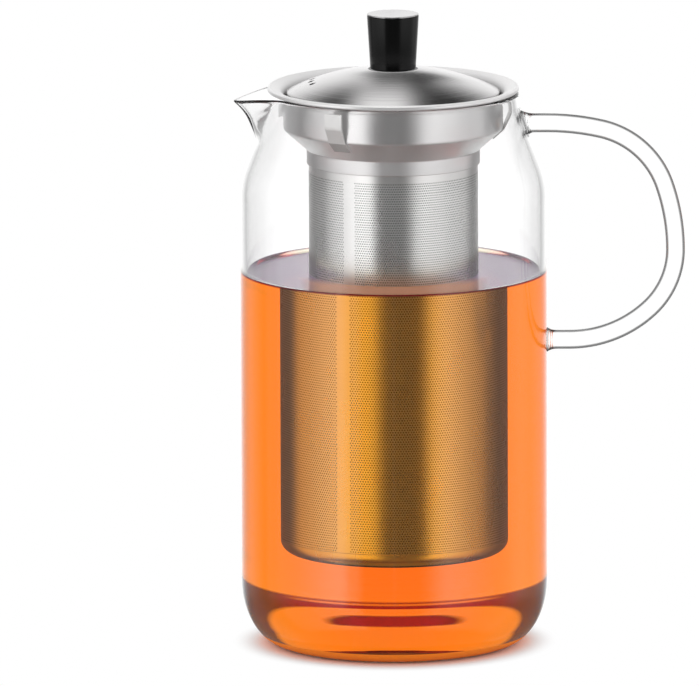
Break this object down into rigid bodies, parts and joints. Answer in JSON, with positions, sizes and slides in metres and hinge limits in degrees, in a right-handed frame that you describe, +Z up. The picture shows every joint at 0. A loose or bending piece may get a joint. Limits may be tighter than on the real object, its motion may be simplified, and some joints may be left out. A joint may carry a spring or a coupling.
{
  "type": "glass teapot with infuser",
  "caption": "Straight glass tea jug with a pinched spout and glass rod handle, a lift-out perforated steel infuser hung in its mouth, and a domed steel lid with a black knob.",
  "frame": {"origin": "on the jug's axis, in the plane of the table it stands on", "axes": "+Z up along the jug's axis, +X towards the handle, -X towards the spout"},
  "size_m": [0.1547, 0.105, 0.2178],
  "materials": {
    "glass": "clear blown borosilicate",
    "collar_steel": "spun, fine brush lines around the axis",
    "mesh_steel": "bright sheet with etched perforations",
    "spring_steel": "satin strip",
    "lid_steel": "spun, fine brush lines around the axis",
    "knob_black": "satin black moulding",
    "cap_steel": "turned bright disc",
    "brass": "turned",
    "fastener_steel": "bright"
  },
  "bodies": {
    "jug": {"jug_body": "glass", "jug_handle": "glass"},
    "infuser": {"infuser_collar": "collar_steel", "basket_wall": "mesh_steel", "basket_foot_ring": "mesh_steel", "basket_floor": "mesh_steel"},
    "spring_tab_1": {"spring_tab_1": "spring_steel"},
    "spring_tab_2": {"spring_tab_2": "spring_steel"},
    "spring_tab_3": {"spring_tab_3": "spring_steel"},
    "lid": {"lid_dome": "lid_steel", "lid_skirt": "lid_steel", "lid_knob": "knob_black", "knob_cap": "cap_steel", "knob_insert": "brass", "knob_washer": "fastener_steel", "knob_screw": "fastener_steel"}
  },
  "joints": [
    {"name": "infuser_lift", "type": "slide", "parent": "jug", "child": "infuser", "axis": [0, 0, 1], "range_m": [0, 0.175]},
    {"name": "lid_lift", "type": "slide", "parent": "infuser", "child": "lid", "axis": [0, 0, 1], "range_m": [0, 0.05]},
    {"name": "tab_flex_1", "type": "hinge", "parent": "infuser", "child": "spring_tab_1", "pos_m": [-0.0188, -0.03257, 0.17836], "axis": [-0.866, 0.5, 0], "range_deg": [0, 6], "stiffness_Nm_per_rad": 0.2},
    {"name": "tab_flex_2", "type": "hinge", "parent": "infuser", "child": "spring_tab_2", "pos_m": [0.03761, 0, 0.17836], "axis": [0, -1, 0], "range_deg": [0, 6], "stiffness_Nm_per_rad": 0.2},
    {"name": "tab_flex_3", "type": "hinge", "parent": "infuser", "child": "spring_tab_3", "pos_m": [-0.0188, 0.03257, 0.17836], "axis": [0.866, 0.5, 0], "range_deg": [0, 6], "stiffness_Nm_per_rad": 0.2}
  ]
}
